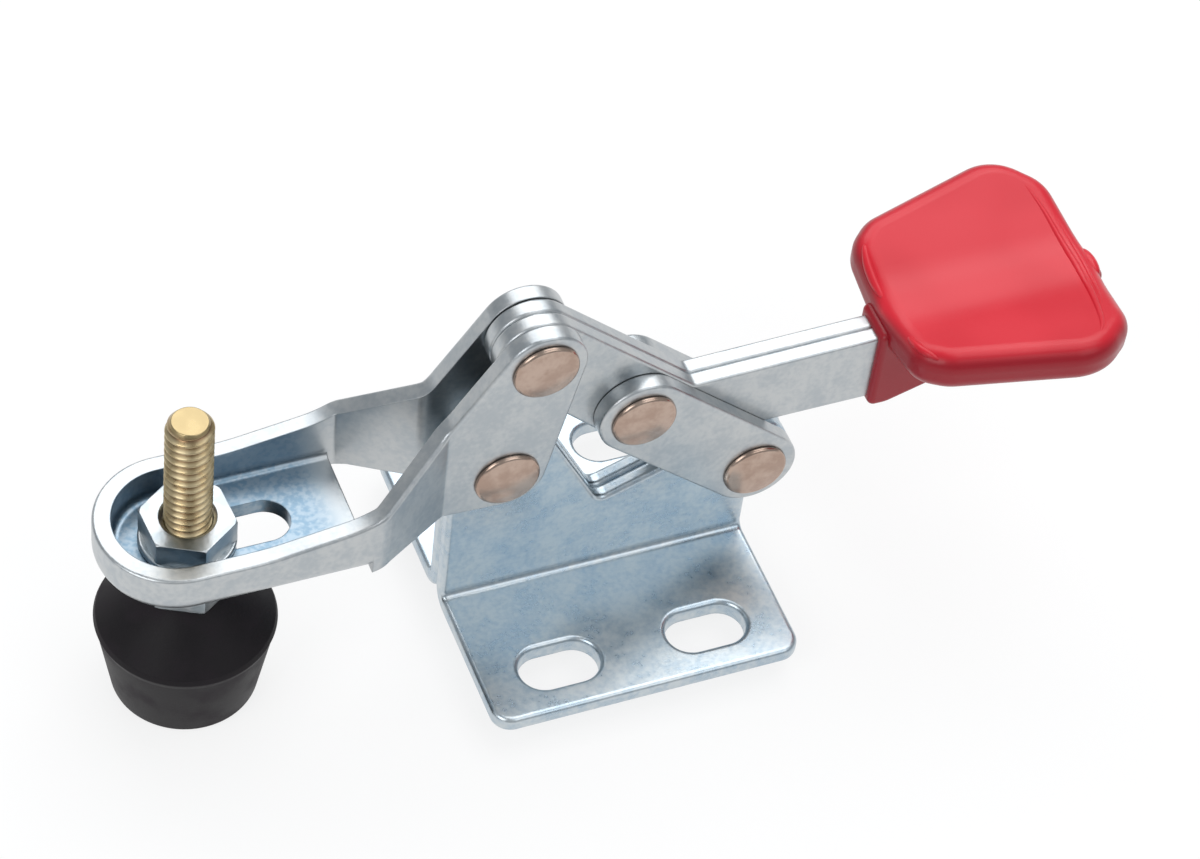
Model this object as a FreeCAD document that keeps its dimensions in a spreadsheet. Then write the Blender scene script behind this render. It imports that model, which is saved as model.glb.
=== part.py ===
"""Toggle clamp with a horizontal handle, a slotted U-bar and a flanged base, shown locked.

Frame: millimetres, +Z up. The origin is the centre of the four base slots, on the underside of the
base. The bar's nose points along -X, the handle along +X. "near" pieces lie at negative Y and "far"
pieces at positive Y. Every driving size is a named cell of the sheet, and the sketches are bound to it.
"""
import FreeCAD, Part
import math
import os
import Sketcher
from FreeCAD import Vector

doc = FreeCAD.newDocument("ToggleClamp")
sheet = doc.addObject("Spreadsheet::Sheet", "Sizes")

# Driving sizes, each written once
CELLS = [
    ("sheet_thick", 2.4),        # every stamped plate
    ("layer_gap", 0.1),          # between the inner and the outer pair of plates
    ("base_length", 44.0),
    ("flange_reach", 24.7),      # from the middle plane to the flange's edge
    ("flange_corner", 2.8),
    ("bend_inner", 1.0),         # inner radius of every bend
    ("slot_width", 6.8),
    ("slot_length", 11.2),
    ("slot_pitch_long", 21.2),
    ("slot_edge_inset", 7.2),    # from the flange's edge to the slots' centre line
    ("edge_roll", 0.45),         # rounding that the die leaves on a plate's outer edge
    ("flange_roll", 0.75),       # the same on the base
    ("arm_pivot_x", -15.5),      # base to bar
    ("arm_pivot_z", 28.3),
    ("top_pivot_x", -11.8),      # bar to handle
    ("top_pivot_z", 48.2),
    ("knee_pivot_x", 3.15),      # handle to links
    ("knee_pivot_z", 33.7),
    ("foot_pivot_x", 21.0),      # links to base
    ("foot_pivot_z", 17.5),
    ("front_ear", 7.1),          # radius of the base's front ear
    ("front_ear_shift", 0.5),    # its centre lies this far behind the pivot
    ("rear_ear", 6.1),
    ("notch_floor_x", 0.9),
    ("notch_floor_z", 17.7),
    ("notch_radius", 1.5),
    ("bar_ear_low", 5.6),        # bar round the base pivot
    ("bar_ear_top", 5.8),        # bar and handle round the top pivot
    ("handle_knee", 6.0),
    ("link_half_width", 6.1),
    ("shank_radius", 2.5),
    ("run_gap", 0.05),           # radial running gap of every pivot
    ("head_gap", 0.05),          # under each rivet head
    ("head_radius", 4.5),
    ("head_height", 1.15),
    ("head_edge", 0.5),
    ("dish_reach", 10.6),        # half width outside, and the nose's radius
    ("nose_centre_x", -58.8),
    ("dish_bottom_z", 22.5),
    ("floor_end_x", -35.6),
    ("rim_z", 29.8),
    ("rim_rise_x", -49.1),
    ("rim_end_x", -36.0),
    ("rim_end_z", 31.8),
    ("arm_low_z", 23.2),
    ("jog_start_x", -34.1),
    ("jog_end_x", -24.1),
    ("shoulder_x", -24.3),
    ("shoulder_z", 39.6),
    ("shoulder_radius", 8.0),
    ("rim_end_radius", 14.0),
    ("rim_rise_radius", 30.0),
    ("bar_slot_width", 6.8),
    ("bar_slot_front_x", -58.0),
    ("bar_slot_rear_x", -46.8),
    ("spindle_x", -57.15),
    ("spindle_radius", 3.15),
    ("spindle_tip_z", 48.1),
    ("tip_chamfer", 0.8),
    ("thread_gap", 0.05),
    ("washer_radius", 6.4),
    ("washer_thick", 1.0),
    ("washer_edge", 0.3),
    ("nut_flats", 11.1),
    ("nut_sink", 0.6),           # depth of the countersink at both ends of a nut's bore
    ("nut_turn", 34.0),          # degrees from the X axis to a corner
    ("nut_upper_height", 3.7),
    ("nut_lower_height", 4.7),
    ("cap_rim_radius", 12.1),
    ("cap_rim_z", 9.8),
    ("cap_bottom_z", -3.5),
    ("cap_bottom_radius", 9.8),
    ("cap_neck_radius", 5.2),
    ("cap_neck_gap", 0.3),       # between the cap's neck and the lower nut
    ("cap_edge", 0.8),
    ("bolt_head_radius", 5.6),
    ("bolt_head_height", 4.0),
    ("bolt_head_z", 4.0),
    ("grip_front_x", 38.2),
    ("bar_top_front_x", 11.2),
    ("bar_top_front_z", 35.0),
    ("bar_top_rear_z", 35.8),
    ("bar_low_front_x", 10.0),
    ("bar_low_front_z", 23.9),
    ("bar_low_rear_z", 24.1),
    ("bar_low_radius", 5.0),     # where the knee runs into the underside of the bar
    ("web_setback", 4.8),        # from the wings' rear edge to the end of the bar
    ("web_end_z", 32.6),
    ("wing_rear_reach", 17.4),
    ("wing_front_inset", 8.2),   # how far the front edge is narrower than the widest place
    ("wing_shoulder_x", 42.0),
    ("wing_shoulder_inset", 5.2),
    ("wing_widest_x", 62.5),
    ("wing_end_x", 68.8),
    ("wing_bow", 1.8),           # how far the rear edge bulges back at the middle
    ("wing_bow_radius", 20.0),
    ("wing_corner", 6.0),
    ("wing_top_z", 37.0),        # crest line of the wings at the middle plane
    ("wing_rise", 0.27),         # height gained outwards, as a slope
    ("wing_rear_inset", 5.4),    # how far the rear edge is narrower than the widest place
    ("wing_front_corner", 3.0),
    ("wing_overlap", 2.1),       # how far the wings start behind the cover's front
    ("cover_thick", 1.8),
    ("cover_edge", 2.4),         # rounding of the cover's rim
    ("cover_lip", 0.6),          # how far the cover's web runs ahead of the wings
    ("web_cover", 1.1),
    ("web_edge", 0.9),
    ("cover_crease", 4.0),       # rounding under the cover, where the wings meet
    ("cover_valley", 22.0),      # the shallow valley along its top
    ("nub_radius", 1.3),
]


class Size:
    """A sheet value and its expression; sums and products of sizes keep both."""

    def __init__(self, value, text):
        self.value = float(value)
        self.text = text

    def join(self, other, sign, swap=False):
        other = other if isinstance(other, Size) else Size(other, repr(float(other)))
        a, b = (other, self) if swap else (self, other)
        value = {"+": lambda: a.value + b.value, "-": lambda: a.value - b.value,
                 "*": lambda: a.value * b.value, "/": lambda: a.value / b.value}[sign]()
        return Size(value, f"({a.text} {sign} {b.text})")

    def __add__(self, other):
        return self.join(other, "+")

    def __radd__(self, other):
        return self.join(other, "+", swap=True)

    def __sub__(self, other):
        return self.join(other, "-")

    def __rsub__(self, other):
        return self.join(other, "-", swap=True)

    def __mul__(self, other):
        return self.join(other, "*")

    def __rmul__(self, other):
        return self.join(other, "*", swap=True)

    def __truediv__(self, other):
        return self.join(other, "/")

    def __neg__(self):
        return self.join(-1.0, "*")

    def root(self):
        return Size(math.sqrt(self.value), f"sqrt({self.text})")


class Sizes:
    """The sheet's values as attributes."""


d = Sizes()
for row, (alias, number) in enumerate(CELLS, start=1):
    sheet.set(f"A{row}", str(number))
    sheet.setAlias(f"A{row}", alias)
    setattr(d, alias, Size(number, f"Sizes.{alias}"))
doc.recompute()

# Sizes worked out from the driving ones
outer_face = 2 * d.sheet_thick + d.layer_gap     # outside of the outer pair of plates
outer_inside = d.sheet_thick + d.layer_gap       # inside of the outer pair
bend_outer = d.bend_inner + d.sheet_thick
hole_run = d.shank_radius + d.run_gap
half_base = d.base_length / 2
floor_top_z = d.dish_bottom_z + d.sheet_thick
dish_inside = d.dish_reach - d.sheet_thick
web_end_x = d.wing_end_x - d.web_setback
wing_front_x = d.grip_front_x + d.wing_overlap
wing_front_reach = d.wing_rear_reach - d.wing_front_inset
wing_shoulder_reach = d.wing_rear_reach - d.wing_shoulder_inset
leg_top_z = d.wing_top_z - bend_outer            # where the wings' bend begins
slot_across = d.flange_reach - d.slot_edge_inset
ZERO = Size(0, "0")
CHAMFER_SLOPE = math.tan(math.radians(30))       # of the cone that trims a nut's corners
REACH = 200.0                                    # longer than the whole clamp, for cuts right through

made = {}


# Sketching helpers

def plane(body, role):
    return next(f for f in body.Origin.OriginFeatures if f.Role == role)


def new_body(name):
    return doc.addObject("PartDesign::Body", name)


def new_sketch(body, name, role, offset=None):
    """A sketch on an origin plane: XY_Plane (x, y), XZ_Plane (x, z; normal -Y), YZ_Plane (y, z)."""
    sketch = body.newObject("Sketcher::SketchObject", name)
    sketch.AttachmentSupport = [(plane(body, role), "")]
    sketch.MapMode = "FlatFace"
    if offset is not None:
        sketch.setExpression("AttachmentOffset.Base.z", offset.text)
    return sketch


def bind(sketch, constraints):
    """Adds (constraint, size or None) pairs and binds each sized one to its cell."""
    first = sketch.ConstraintCount
    sketch.addConstraint([constraint for constraint, _ in constraints])
    for index, (_, size) in enumerate(constraints, start=first):
        if size is not None:
            sketch.setExpression(f"Constraints[{index}]", size.text)


def eye(x, y, radius):
    """A convex rounding about a centre, such as the ear round a pivot."""
    return ("eye", x, y, radius)


def corner(x, y, radius=None):
    """A corner point, sharp or with a fillet."""
    return ("corner", x, y, radius)


def leave_and_arrive(here, there):
    """The straight line that runs tangent from one signed circle to the next."""
    (xa, ya, ra), (xb, yb, rb) = here, there
    span = math.hypot(xb - xa, yb - ya)
    turn = math.atan2(yb - ya, xb - xa) - math.asin((rb - ra) / span)
    normal = Vector(-math.sin(turn), math.cos(turn), 0)
    return Vector(xa, ya, 0) - normal * ra, Vector(xb, yb, 0) - normal * rb, turn


def outline(sketch, parts):
    """A closed anticlockwise outline of straight lines, tangent to eyes and rounded at corners."""
    discs = []
    for kind, x, y, radius in parts:
        discs.append((x.value, y.value, radius.value if kind == "eye" else 0.0))
    lines = [leave_and_arrive(discs[i], discs[(i + 1) % len(discs)]) for i in range(len(discs))]
    starts = [line[0] for line in lines]
    ends = [line[1] for line in lines]
    arcs = {}
    for i, (kind, x, y, radius) in enumerate(parts):
        turn_in, turn_out = lines[i - 1][2], lines[i][2]
        turn = (turn_out - turn_in + math.pi) % (2 * math.pi) - math.pi
        if kind == "eye":
            arcs[i] = (Vector(x.value, y.value, 0), radius.value, 1)
        elif radius is not None:
            side = 1 if turn > 0 else -1
            back = radius.value * math.tan(abs(turn) / 2)
            ends[i - 1] = ends[i - 1] - Vector(math.cos(turn_in), math.sin(turn_in), 0) * back
            starts[i] = starts[i] + Vector(math.cos(turn_out), math.sin(turn_out), 0) * back
            normal = Vector(-math.sin(turn_in), math.cos(turn_in), 0)
            arcs[i] = (ends[i - 1] + normal * radius.value * side, radius.value, side)
    first = sketch.GeometryCount
    sketch.addGeometry([Part.LineSegment(a, b) for a, b in zip(starts, ends)], False)
    rules = []
    for i, (kind, x, y, radius) in enumerate(parts):
        line_in, line_out = first + (i - 1) % len(parts), first + i
        if i not in arcs:
            rules.append((Sketcher.Constraint("Coincident", line_in, 2, line_out, 1), None))
            rules.append((Sketcher.Constraint("DistanceX", line_out, 1, x.value), x))
            rules.append((Sketcher.Constraint("DistanceY", line_out, 1, y.value), y))
            continue
        centre, reach, side = arcs[i]
        spoke_in, spoke_out = ends[i - 1] - centre, starts[i] - centre
        begin, finish = (spoke_in, spoke_out) if side > 0 else (spoke_out, spoke_in)
        circle = Part.Circle(centre, Vector(0, 0, 1), reach)
        arc = sketch.addGeometry(
            Part.ArcOfCircle(circle, math.atan2(begin.y, begin.x), math.atan2(finish.y, finish.x)), False)
        arc_in, arc_out = (1, 2) if side > 0 else (2, 1)
        rules.append((Sketcher.Constraint("Tangent", line_in, 2, arc, arc_in), None))
        rules.append((Sketcher.Constraint("Tangent", line_out, 1, arc, arc_out), None))
        rules.append((Sketcher.Constraint("Radius", arc, reach), radius))
        if kind == "eye":
            rules.append((Sketcher.Constraint("DistanceX", arc, 3, x.value), x))
            rules.append((Sketcher.Constraint("DistanceY", arc, 3, y.value), y))
        else:
            mark = sketch.addGeometry(Part.Point(Vector(x.value, y.value, 0)), True)
            rules.append((Sketcher.Constraint("DistanceX", mark, 1, x.value), x))
            rules.append((Sketcher.Constraint("DistanceY", mark, 1, y.value), y))
            rules.append((Sketcher.Constraint("PointOnObject", mark, 1, line_in), None))
            rules.append((Sketcher.Constraint("PointOnObject", mark, 1, line_out), None))
    bind(sketch, rules)
    return sketch


def pad(body, sketch, length, reverse=False, both=False):
    feature = body.newObject("PartDesign::Pad", sketch.Name + "_pad")
    feature.Profile = sketch
    feature.setExpression("Length", length.text)
    feature.Reversed = reverse
    if both:
        feature.SideType = "Symmetric"
    body.Tip = feature
    return feature


def round_edges(body, radius, wanted):
    """A fillet on the body's edges that the test picks, given each edge's middle and its box."""
    doc.recompute()
    base = body.Tip
    names = []
    for number, edge in enumerate(base.Shape.Edges, start=1):
        if wanted(edge, edge.BoundBox):
            names.append(f"Edge{number}")
    feature = body.newObject("PartDesign::Fillet", body.Name + f"_round{len(body.Group)}")
    feature.Base = (base, names)
    feature.setExpression("Radius", radius.text)
    body.Tip = feature
    return feature


def rolled(name, blank, radius, wanted):
    """A fillet on a finished shape's edges that the test picks."""
    doc.recompute()
    feature = doc.addObject("Part::Fillet", name)
    feature.Base = blank
    edges = [i for i, edge in enumerate(blank.Shape.Edges, start=1) if wanted(edge, edge.BoundBox)]
    feature.Edges = [(i, radius.value, radius.value) for i in edges]
    return feature


def near(value, other, slack=0.01):
    return abs(value - other) < slack


def flat_at(box, axis, value):
    """True when an edge lies in the plane where that axis has that value."""
    low, high = getattr(box, axis + "Min"), getattr(box, axis + "Max")
    return near(low, value) and near(high, value)


def long_slot(name, x_front, x_rear, y, radius):
    """A cutter for a slot with round ends that runs along X, through any level plate."""
    body = new_body(name)
    sketch = outline(new_sketch(body, name + "_plan", "XY_Plane"), [eye(x_front, y, radius), eye(x_rear, y, radius)])
    pad(body, sketch, d.dish_bottom_z * 4, both=True)
    return body


def keep(label, feature):
    """Names a finished sub-part; its label names its file."""
    feature.Label = label
    made[label] = feature
    return feature


def boolean(kind, name, first, second):
    feature = doc.addObject(f"Part::{kind}", name)
    feature.Base = first
    feature.Tool = second
    return feature


def pivot_drill(name, x, z, radius):
    """A cylinder along Y, to bore a pivot hole through the plates."""
    drill = doc.addObject("Part::Cylinder", name)
    drill.setExpression("Radius", radius.text)
    drill.Height = REACH
    drill.Placement = FreeCAD.Placement(Vector(0, REACH / 2, 0), FreeCAD.Rotation(Vector(1, 0, 0), 90))
    drill.setExpression("Placement.Base.x", x.text)
    drill.setExpression("Placement.Base.z", z.text)
    return drill


def drilled(name, blank, drills):
    tools = doc.addObject("Part::MultiFuse", name + "_drills")
    tools.Shapes = drills
    return boolean("Cut", name, blank, tools)


# Base: two angle stampings, back to back

def base_profile():
    """Side view of the upright wall: front ear, notch and rear ear."""
    return [
        corner(-half_base, ZERO),
        corner(half_base, ZERO),
        corner(half_base, d.foot_pivot_z - d.rear_ear - 0.6, d.notch_radius),
        eye(d.foot_pivot_x, d.foot_pivot_z, d.rear_ear),
        corner(d.notch_floor_x - 1.3, d.notch_floor_z - 2.3, d.notch_radius),
        eye(d.arm_pivot_x + d.front_ear_shift, d.arm_pivot_z, d.front_ear),
    ]


def base_half(label, side):
    """One L-shaped half: flange and wall from one sheet, slotted, with two pivot holes."""
    body = new_body(label + "_angle")
    section = new_sketch(body, label + "_section", "YZ_Plane")
    t = d.sheet_thick
    tall = d.arm_pivot_z * 2
    section_parts = [(ZERO, ZERO, bend_outer), (d.flange_reach, ZERO, None), (d.flange_reach, t, None),
                     (t, t, d.bend_inner), (t, tall, None), (ZERO, tall, None)]
    section_outline = [corner(side * y, z, r) for y, z, r in section_parts]
    if side < 0:
        section_outline.reverse()
    pad(body, outline(section, section_outline), d.base_length * 2, both=True)

    side_body = new_body(label + "_side")
    pad(side_body, outline(new_sketch(side_body, label + "_outline", "XZ_Plane"), base_profile()),
        d.flange_reach * 3, both=True)
    angle = boolean("Common", label + "_blank", body, side_body)
    edge_y = side * d.flange_reach.value
    blank = rolled(label + "_trimmed", angle, d.flange_corner, lambda edge, box: flat_at(box, "Y", edge_y)
                   and near(box.XMin, box.XMax))

    half = (d.slot_length - d.slot_width) / 2
    cutters = [pivot_drill(label + "_front_eye", d.arm_pivot_x, d.arm_pivot_z, d.shank_radius),
               pivot_drill(label + "_rear_eye", d.foot_pivot_x, d.foot_pivot_z, hole_run)]
    for place, along in (("front", -d.slot_pitch_long / 2), ("rear", d.slot_pitch_long / 2)):
        cutters.append(long_slot(f"{label}_slot_{place}", along - half, along + half, side * slot_across,
                                 d.slot_width / 2))
    stamped = drilled(label + "_stamped", blank, cutters)
    wall_face = side * t.value

    def outer_edge(edge, box):
        """The upper edge of the flange and its slots, and the outline of the wall on both faces."""
        on_flange = flat_at(box, "Z", t.value) and abs(box.Center.y) > bend_outer.value
        on_wall = (flat_at(box, "Y", wall_face) or flat_at(box, "Y", 0)) and box.ZMin > bend_outer.value - 0.01
        return on_flange or (on_wall and edge.Length > 4 * t.value)

    return keep(label, rolled(label, stamped, d.flange_roll, outer_edge))


# Clamp arm: dish with a slotted floor, whose rims run back as arms

def arm_band(name, side):
    """One rim and arm in plan: straight, jogged inwards, straight again outside the handle."""
    dx = d.jog_end_x - d.jog_start_x
    dy = d.dish_reach - outer_face
    slant = (dx * dx + dy * dy).root()
    shift = d.sheet_thick * dy / (slant + dx)
    lead = d.floor_end_x
    tail = d.top_pivot_x + d.bar_ear_top + d.sheet_thick
    outer = [(lead, d.dish_reach, None), (d.jog_start_x, d.dish_reach, bend_outer),
             (d.jog_end_x, outer_face, d.bend_inner), (tail, outer_face, None)]
    inner = [(tail, outer_inside, None), (d.jog_end_x - shift, outer_inside, bend_outer),
             (d.jog_start_x - shift, dish_inside, d.bend_inner), (lead, dish_inside, None)]
    parts = [corner(x, side * y, r) for x, y, r in outer + inner]
    if side > 0:
        parts.reverse()
    body = new_body(name)
    pad(body, outline(new_sketch(body, name + "_plan", "XY_Plane"), parts), d.top_pivot_z * 1.4)
    return body


def dish_blank():
    """The nose and floor: a half-round tray with a rounded lower edge, open at the back."""
    body = new_body("dish")
    outer = new_sketch(body, "dish_plan", "XY_Plane", d.dish_bottom_z)
    end = d.floor_end_x
    r = d.dish_reach
    outline(outer, [eye(d.nose_centre_x, ZERO, r), corner(end, -r), corner(end, r)])
    pad(body, outer, d.top_pivot_z)
    low = d.dish_bottom_z.value
    round_edges(body, bend_outer, lambda edge, box: near(box.ZMin, low) and near(box.ZMax, low)
                and not (near(box.XMin, end.value) and near(box.XMax, end.value)))
    inner = new_sketch(body, "dish_hollow", "XY_Plane", floor_top_z)
    outline(inner, [eye(d.nose_centre_x, ZERO, dish_inside), corner(end + bend_outer, -dish_inside),
                    corner(end + bend_outer, dish_inside)])
    feature = body.newObject("PartDesign::Pocket", "dish_hollow_cut")
    feature.Profile = inner
    feature.Type = "ThroughAll"
    feature.Reversed = True
    body.Tip = feature
    floor = floor_top_z.value
    round_edges(body, d.bend_inner, lambda edge, box: near(box.ZMin, floor) and near(box.ZMax, floor)
                and not (near(box.XMin, end.value) and near(box.XMax, end.value)))
    return body


def clamp_arm():
    tray = dish_blank()
    bands = [arm_band("arm_band_near", -1), arm_band("arm_band_far", 1)]
    metal = doc.addObject("Part::MultiFuse", "arm_metal")
    metal.Shapes = [tray] + bands
    view = new_body("arm_side")
    nose = d.nose_centre_x - d.dish_reach - 1.0
    parts = [
        corner(nose, d.dish_bottom_z),
        corner(d.floor_end_x, d.dish_bottom_z),
        corner(d.floor_end_x + d.sheet_thick, d.arm_low_z, d.bend_inner),
        corner(d.jog_end_x - d.notch_radius, d.arm_low_z, bend_outer),
        eye(d.arm_pivot_x, d.arm_pivot_z, d.bar_ear_low),
        eye(d.top_pivot_x, d.top_pivot_z, d.bar_ear_top),
        corner(d.shoulder_x, d.shoulder_z, d.shoulder_radius),
        corner(d.rim_end_x, d.rim_end_z, d.rim_end_radius),
        corner(d.rim_rise_x, d.rim_z, d.rim_rise_radius),
        corner(nose, d.rim_z),
    ]
    pad(view, outline(new_sketch(view, "arm_outline", "XZ_Plane"), parts), d.dish_reach * 3, both=True)
    shaped = boolean("Common", "arm_shaped", metal, view)
    stamped = drilled("arm_stamped", shaped, [
        long_slot("bar_slot", d.bar_slot_front_x, d.bar_slot_rear_x, ZERO, d.bar_slot_width / 2),
        pivot_drill("arm_low_eye", d.arm_pivot_x, d.arm_pivot_z, hole_run),
        pivot_drill("arm_top_eye", d.top_pivot_x, d.top_pivot_z, d.shank_radius)])
    face = outer_face.value
    return keep("clamp_arm", rolled("clamp_arm", stamped, d.edge_roll, lambda edge, box: near(box.YMin, box.YMax)
                                    and near(abs(box.YMin), face) and edge.Length > 4 * d.sheet_thick.value))


# Handle: the inner pair of plates, spread into wings under the grip

def handle_side():
    """Side view of a handle plate without its wing."""
    return [
        eye(d.top_pivot_x, d.top_pivot_z, d.bar_ear_top),
        eye(d.knee_pivot_x, d.knee_pivot_z, d.handle_knee),
        corner(d.bar_low_front_x, d.bar_low_front_z, d.bar_low_radius),
        corner(wing_front_x, d.bar_low_rear_z, d.notch_radius),
        corner(web_end_x, d.web_end_z),
        corner(web_end_x, leg_top_z),
        corner(wing_front_x, leg_top_z),
        corner(wing_front_x, d.bar_top_rear_z),
        corner(d.bar_top_front_x, d.bar_top_front_z, d.notch_radius),
    ]


def wing_plan(extra):
    """Plan of both wings together; extra is how far the outline stands outside the metal."""
    rear = d.wing_end_x + extra
    half = [(wing_front_x - extra, wing_front_reach + extra, d.wing_front_corner + extra),
            (d.wing_shoulder_x, wing_shoulder_reach + extra, d.wing_corner),
            (d.wing_widest_x, d.wing_rear_reach + extra, d.wing_corner + extra),
            (rear - d.wing_bow, d.wing_rear_reach - d.wing_rear_inset + extra, d.wing_corner)]
    near_side = [corner(x, -y, r) for x, y, r in half]
    far_side = [corner(x, y, r) for x, y, r in reversed(half)]
    return near_side + [corner(rear, ZERO, d.wing_bow_radius)] + far_side


def wing_section(side):
    """End view of one plate: the leg and the wing that rises outwards."""
    t = d.sheet_thick
    slope = d.wing_rise
    stretch = (1.0 + slope * slope).root()
    top = d.wing_top_z
    low = top - t * stretch
    leg = leg_top_z
    tip = d.wing_rear_reach + t
    parts = [(ZERO, leg, None), (t, leg, None), (t, low + slope * t, d.bend_inner), (tip, low + slope * tip, None),
             (tip, top + slope * tip, None), (ZERO, top, bend_outer)]
    parts = [corner(side * y, z, r) for y, z, r in parts]
    if side < 0:
        parts.reverse()
    return parts


def handle_plate(label, side):
    web = new_body(label + "_web")
    pad(web, outline(new_sketch(web, label + "_outline", "XZ_Plane"), handle_side()), d.sheet_thick,
        reverse=side > 0)
    bare_end = wing_front_x.value + 0.1
    round_edges(web, d.edge_roll, lambda edge, box: near(box.YMin, box.YMax) and box.XMax < bare_end)
    wing = new_body(label + "_wing")
    section = new_sketch(wing, label + "_section", "YZ_Plane")
    pad(wing, outline(section, wing_section(side)), d.wing_end_x * 1.2)
    plan = new_body(label + "_plan")
    pad(plan, outline(new_sketch(plan, label + "_plan_view", "XY_Plane"), wing_plan(ZERO)),
        d.top_pivot_z * 2)
    wings = boolean("Common", label + "_wings", wing, plan)
    metal = doc.addObject("Part::MultiFuse", label + "_metal")
    metal.Shapes = [web, wings]
    return keep(label, drilled(label, metal, [
        pivot_drill(label + "_top_eye", d.top_pivot_x, d.top_pivot_z, hole_run),
        pivot_drill(label + "_knee_eye", d.knee_pivot_x, d.knee_pivot_z, d.shank_radius)]))


def grip_cover(plates):
    """The dipped cover: an even skin round the wings and the end of the bar."""
    skin = d.cover_thick
    slope = d.wing_rise
    stretch = (1.0 + slope * slope).root()
    top = d.wing_top_z + skin * stretch
    low = d.wing_top_z - (d.sheet_thick + skin) * stretch
    tip = d.wing_rear_reach + 2 * skin
    form = new_body("cover_wings")
    section = new_sketch(form, "cover_section", "YZ_Plane")
    outline(section, [corner(-tip, low + slope * tip), corner(ZERO, low, d.cover_crease),
                      corner(tip, low + slope * tip), corner(tip, top + slope * tip),
                      corner(ZERO, top, d.cover_valley), corner(-tip, top + slope * tip)])
    pad(form, section, d.wing_end_x * 1.4)
    plan = new_body("cover_plan")
    pad(plan, outline(new_sketch(plan, "cover_plan_view", "XY_Plane"), wing_plan(skin)), d.top_pivot_z * 2)
    tee = boolean("Common", "cover_tee", form, plan)
    wings = rolled("cover_rim", tee, d.cover_edge, lambda edge, box: box.ZLength < box.XLength + box.YLength
                   and not (near(box.YMin, -box.YMax) and box.YLength < 1.0)
                   and not (abs(edge.CenterOfMass.y) < 6.0 and edge.BoundBox.XLength > 15.0))
    web = new_body("cover_web")
    out = d.web_cover
    front = d.grip_front_x - d.cover_lip
    parts = [
        corner(front, d.bar_low_rear_z - out, d.bend_inner),
        corner(wing_front_x, d.bar_low_rear_z - out, d.cover_crease),
        corner(web_end_x + out, d.web_end_z - out, d.cover_thick),
        corner(web_end_x + out, d.wing_top_z),
        corner(front, d.wing_top_z, d.bend_inner),
    ]
    pad(web, outline(new_sketch(web, "cover_web_side", "XZ_Plane"), parts), 2 * (d.sheet_thick + out), both=True)
    low_z = (d.bar_low_rear_z - out).value
    round_edges(web, d.web_edge, lambda edge, box: abs(box.Center.y) > 1.0 and box.YLength < 0.01
                and box.ZMin < low_z + 12.0 and box.XLength > 0.5 and box.ZMax < d.wing_top_z.value - 2.0)
    nub = doc.addObject("Part::Sphere", "cover_nub")
    nub.setExpression("Radius", d.nub_radius.text)
    nub.setExpression("Placement.Base.x", (d.wing_end_x + skin).text)
    nub.setExpression("Placement.Base.z", (d.wing_top_z - d.sheet_thick / 2).text)
    whole = doc.addObject("Part::MultiFuse", "cover_whole")
    whole.Shapes = [wings, web, nub]
    metal = doc.addObject("Part::MultiFuse", "cover_metal")
    metal.Shapes = plates
    return keep("grip_cover", boolean("Cut", "grip_cover", whole, metal))


# Links, rivets, spindle, nuts, washers and cap

def link(label, side):
    """One of the outer pair: two ears joined by straight sides."""
    body = new_body(label + "_blank")
    offset = outer_inside if side < 0 else -outer_inside
    sketch = new_sketch(body, label + "_outline", "XZ_Plane", offset)
    outline(sketch, [eye(d.knee_pivot_x, d.knee_pivot_z, d.link_half_width),
                     eye(d.foot_pivot_x, d.foot_pivot_z, d.link_half_width)])
    pad(body, sketch, d.sheet_thick, reverse=side > 0)
    stamped = drilled(label + "_stamped", body, [
        pivot_drill(label + "_knee_eye", d.knee_pivot_x, d.knee_pivot_z, hole_run),
        pivot_drill(label + "_foot_eye", d.foot_pivot_x, d.foot_pivot_z, d.shank_radius)])
    face = side * outer_face.value
    return keep(label, rolled(label, stamped, d.edge_roll, lambda edge, box: flat_at(box, "Y", face)
                              and edge.Length > 2 * d.link_half_width.value))


def turned(name, role, parts, axis):
    """A turned piece: its half profile is (radius, length) beside the axis."""
    body = new_body(name)
    sketch = outline(new_sketch(body, name + "_profile", role), parts)
    feature = body.newObject("PartDesign::Revolution", name + "_turned")
    feature.Profile = sketch
    feature.ReferenceAxis = (plane(body, axis), [""])
    feature.Angle = 360.0
    body.Tip = feature
    return body


def rivet_profile():
    """Shank and two heads, as half of a turned section."""
    under = outer_face + d.head_gap
    face = under + d.head_height
    return [corner(ZERO, -face), corner(d.head_radius, -face, d.head_edge), corner(d.head_radius, -under),
            corner(d.shank_radius, -under), corner(d.shank_radius, under), corner(d.head_radius, under),
            corner(d.head_radius, face, d.head_edge), corner(ZERO, face)]


def rivet(label, x, z, split=False):
    body = turned(label + "_turned", "XY_Plane", rivet_profile(), "Y_Axis")
    body.setExpression("Placement.Base.x", x.text)
    body.setExpression("Placement.Base.z", z.text)
    if not split:
        return keep(label, body)
    middle = doc.addObject("Part::Cylinder", label + "_middle")
    middle.setExpression("Radius", d.head_radius.text)
    middle.setExpression("Height", (2 * (d.sheet_thick + d.run_gap)).text)
    middle.Placement = FreeCAD.Placement(Vector(0, 0, 0), FreeCAD.Rotation(Vector(1, 0, 0), 90))
    middle.setExpression("Placement.Base.x", x.text)
    middle.setExpression("Placement.Base.y", (d.sheet_thick + d.run_gap).text)
    middle.setExpression("Placement.Base.z", z.text)
    return keep(label, boolean("Cut", label, body, middle))


def spindle():
    r = d.spindle_radius
    head_top = d.bolt_head_z + d.bolt_head_height
    body = turned("spindle", "XZ_Plane", [
        corner(ZERO, d.bolt_head_z), corner(d.bolt_head_radius, d.bolt_head_z), corner(d.bolt_head_radius, head_top),
        corner(r, head_top), corner(r, d.spindle_tip_z - d.tip_chamfer),
        corner(r - d.tip_chamfer, d.spindle_tip_z), corner(ZERO, d.spindle_tip_z)], "Z_Axis")
    body.setExpression("Placement.Base.x", d.spindle_x.text)
    return keep("spindle", body)


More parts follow.
